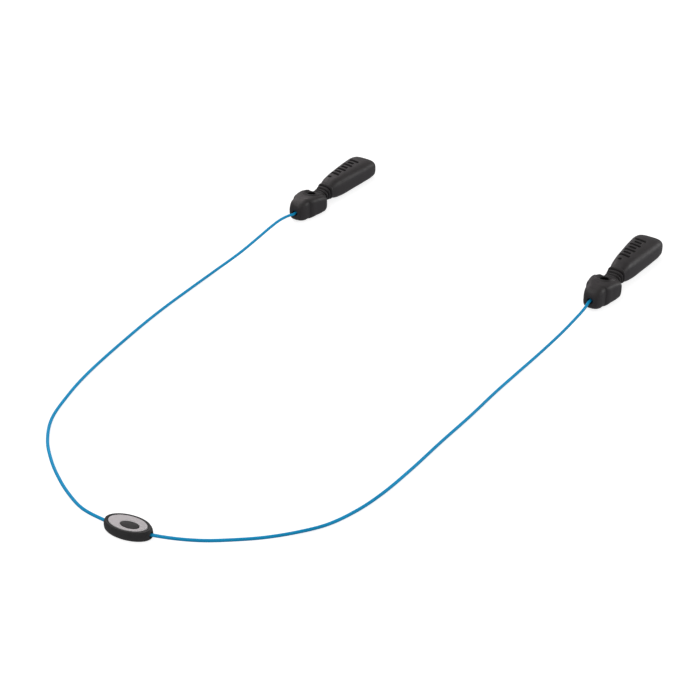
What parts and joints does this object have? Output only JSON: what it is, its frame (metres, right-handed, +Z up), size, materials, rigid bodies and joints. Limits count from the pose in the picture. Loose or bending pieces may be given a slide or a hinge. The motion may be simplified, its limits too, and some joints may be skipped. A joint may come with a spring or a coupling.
{
  "type": "eyewear retainer",
  "caption": "Coated wire cable with a soft flexible socket grip at each end for spectacle arms and an oval bead that slides along it.",
  "frame": {"origin": "on the resting surface, under the middle of the box round the two grips and the bead; the free cable is not counted", "axes": "+Z up; the cable's U opens towards +Y, with the bead at its bottom; +X from the left grip to the right grip"},
  "size_m": [0.1719, 0.1985, 0.0068],
  "materials": {
    "grip_rubber": "satin moulded rubber",
    "jacket_plastic": "smooth extruded coating",
    "core_steel": "bare wire strand",
    "ferrule_steel": "crimped tube",
    "bead_plastic": "fine matt",
    "inlay_metal": "fine brushed"
  },
  "bodies": {
    "cable": {"cable_jacket": "jacket_plastic", "left_cable_core": "core_steel", "right_cable_core": "core_steel", "left_ferrule": "ferrule_steel", "right_ferrule": "ferrule_steel", "left_head": "grip_rubber", "right_head": "grip_rubber"},
    "left_neck": {"left_neck": "grip_rubber"},
    "left_sleeve": {"left_sleeve": "grip_rubber"},
    "right_neck": {"right_neck": "grip_rubber"},
    "right_sleeve": {"right_sleeve": "grip_rubber"},
    "bead": {"bead_body": "bead_plastic", "bead_inlay": "inlay_metal", "bead_badge": "bead_plastic"}
  },
  "joints": [
    {"name": "left_neck_swing", "type": "hinge", "parent": "cable", "child": "left_neck", "pos_m": [-0.0276, 0.07437, 0.0032], "axis": [0, 0, 1], "range_deg": [-35, 35], "stiffness_Nm_per_rad": 0.008, "deforming": ["left_neck"]},
    {"name": "left_neck_nod", "type": "hinge", "parent": "left_neck", "child": "left_sleeve", "pos_m": [-0.0264, 0.07621, 0.0032], "axis": [0.8396, -0.5432, 0], "range_deg": [0, 35], "stiffness_Nm_per_rad": 0.008, "deforming": ["left_neck"]},
    {"name": "right_neck_swing", "type": "hinge", "parent": "cable", "child": "right_neck", "pos_m": [0.05825, 0.01979, 0.0032], "axis": [0, 0, 1], "range_deg": [-35, 35], "stiffness_Nm_per_rad": 0.008, "deforming": ["right_neck"]},
    {"name": "right_neck_nod", "type": "hinge", "parent": "right_neck", "child": "right_sleeve", "pos_m": [0.05945, 0.02163, 0.0032], "axis": [0.8377, -0.5461, 0], "range_deg": [0, 35], "stiffness_Nm_per_rad": 0.008, "deforming": ["right_neck"]},
    {"name": "bead_travel", "type": "hinge", "parent": "cable", "child": "bead", "pos_m": [-0.0507, -0.05405, 0.0012], "axis": [0, 0, 1], "range_deg": [-10, 30]}
  ]
}
